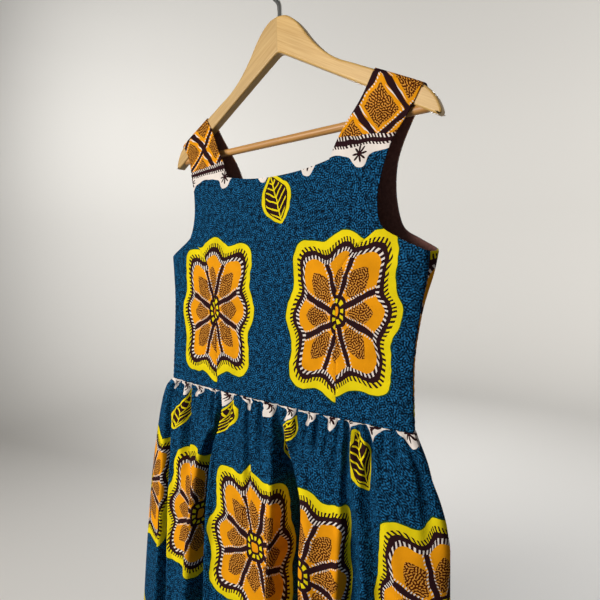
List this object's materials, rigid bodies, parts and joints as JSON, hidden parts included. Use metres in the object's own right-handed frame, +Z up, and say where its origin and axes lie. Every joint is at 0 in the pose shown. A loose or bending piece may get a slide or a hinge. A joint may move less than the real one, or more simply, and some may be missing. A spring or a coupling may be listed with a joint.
{
  "type": "wax print cotton dress on a wooden hanger",
  "caption": "Sleeveless wax print cotton dress with a square neck, princess-seamed bodice and gathered skirt, hanging flat on a wooden hanger with a metal hook.",
  "frame": {"origin": "inner top of the hook's bend, where the hanger rests on a rail or wall hook", "axes": "+X to the right of someone who faces the dress, -Y out of the dress's front, +Z up"},
  "size_m": [0.6558, 0.15, 1.2228],
  "materials": {
    "wax_print_cotton": "matt plain-weave cotton, printed in petrol blue, near black, yellow, orange and white",
    "lining_cotton": "matt dark brown plain-weave cotton",
    "varnished_pale_wood": "clear satin varnish",
    "turned_bar_wood": "clear satin varnish, darker",
    "chromed_steel": "polished"
  },
  "bodies": {
    "root": {"bodice_front_centre": "wax_print_cotton", "bodice_side_front_left": "wax_print_cotton", "bodice_side_front_right": "wax_print_cotton", "bodice_back_left": "wax_print_cotton", "bodice_back_right": "wax_print_cotton", "skirt_front": "wax_print_cotton", "skirt_back": "wax_print_cotton", "lining_back_left": "lining_cotton", "lining_back_right": "lining_cotton", "hanger_body": "varnished_pale_wood", "trouser_bar": "turned_bar_wood", "hook": "chromed_steel"}
  },
  "joints": []
}
